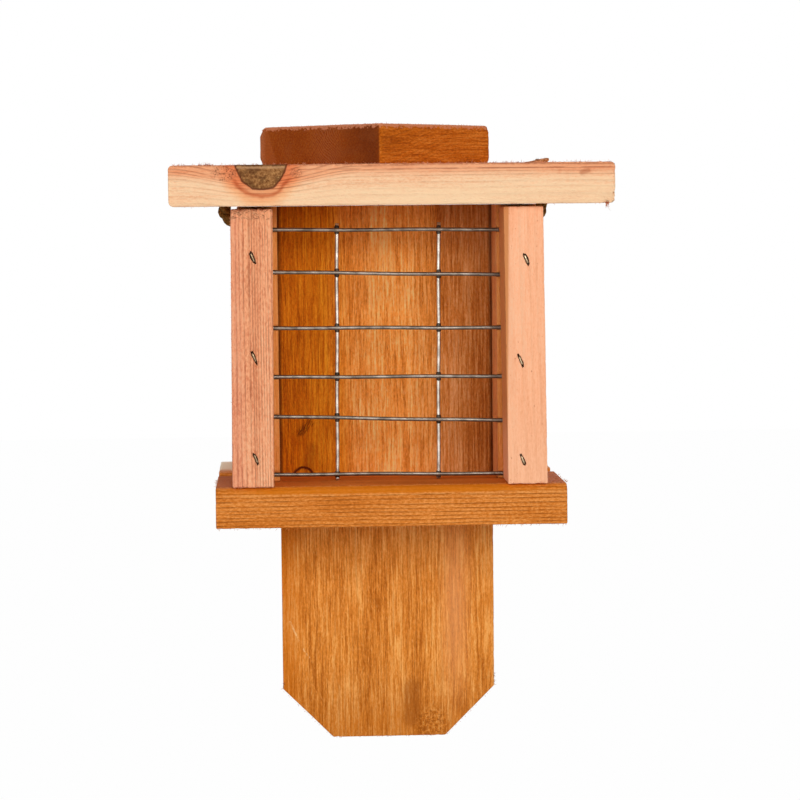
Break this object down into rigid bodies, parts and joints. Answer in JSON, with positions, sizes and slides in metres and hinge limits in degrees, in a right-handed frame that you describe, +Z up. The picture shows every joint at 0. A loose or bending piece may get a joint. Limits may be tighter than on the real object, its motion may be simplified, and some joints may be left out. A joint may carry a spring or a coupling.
{
  "type": "suet_bird_feeder",
  "caption": "Double sided wooden suet feeder: a centre board with a long tail prop, wire fronted suet pockets, trays and a loose roof with a square block on top",
  "frame": {"origin": "on the roof's top plane, midway between the two ropes that the feeder hangs from", "axes": "+Z up, +X to the right seen from the front, the front pocket faces -Y"},
  "size_m": [0.2286, 0.157, 0.3307],
  "materials": {
    "cedar": "raw",
    "wire": "weathered",
    "fixings": "dull",
    "rope": "matte"
  },
  "bodies": {
    "house": {"centre_board": "cedar", "side_left": "cedar", "side_right": "cedar", "front_batten_left": "cedar", "front_batten_right": "cedar", "rear_batten_left": "cedar", "rear_batten_right": "cedar", "tray_front": "cedar", "tray_rear": "cedar", "front_cross_wire_1": "wire", "front_cross_wire_2": "wire", "front_cross_wire_3": "wire", "front_cross_wire_4": "wire", "front_cross_wire_5": "wire", "front_cross_wire_6": "wire", "front_upright_wire_left": "wire", "front_upright_wire_right": "wire", "rear_cross_wire_1": "wire", "rear_cross_wire_2": "wire", "rear_cross_wire_3": "wire", "rear_cross_wire_4": "wire", "rear_cross_wire_5": "wire", "rear_cross_wire_6": "wire", "rear_upright_wire_left": "wire", "rear_upright_wire_right": "wire", "front_staples_left": "fixings", "front_staples_right": "fixings", "rear_staples_left": "fixings", "rear_staples_right": "fixings", "side_nails_left": "fixings", "side_nails_right": "fixings", "tray_nails_front": "fixings", "tray_nails_rear": "fixings", "rope_left": "rope", "rope_right": "rope", "rope_pin_left": "fixings", "rope_pin_right": "fixings"},
    "roof": {"roof": "cedar", "roof_block": "cedar", "block_screws": "fixings"}
  },
  "joints": [
    {"name": "roof_lift", "type": "slide", "parent": "house", "child": "roof", "axis": [0, 0, 1], "range_m": [0, 0.12]}
  ]
}
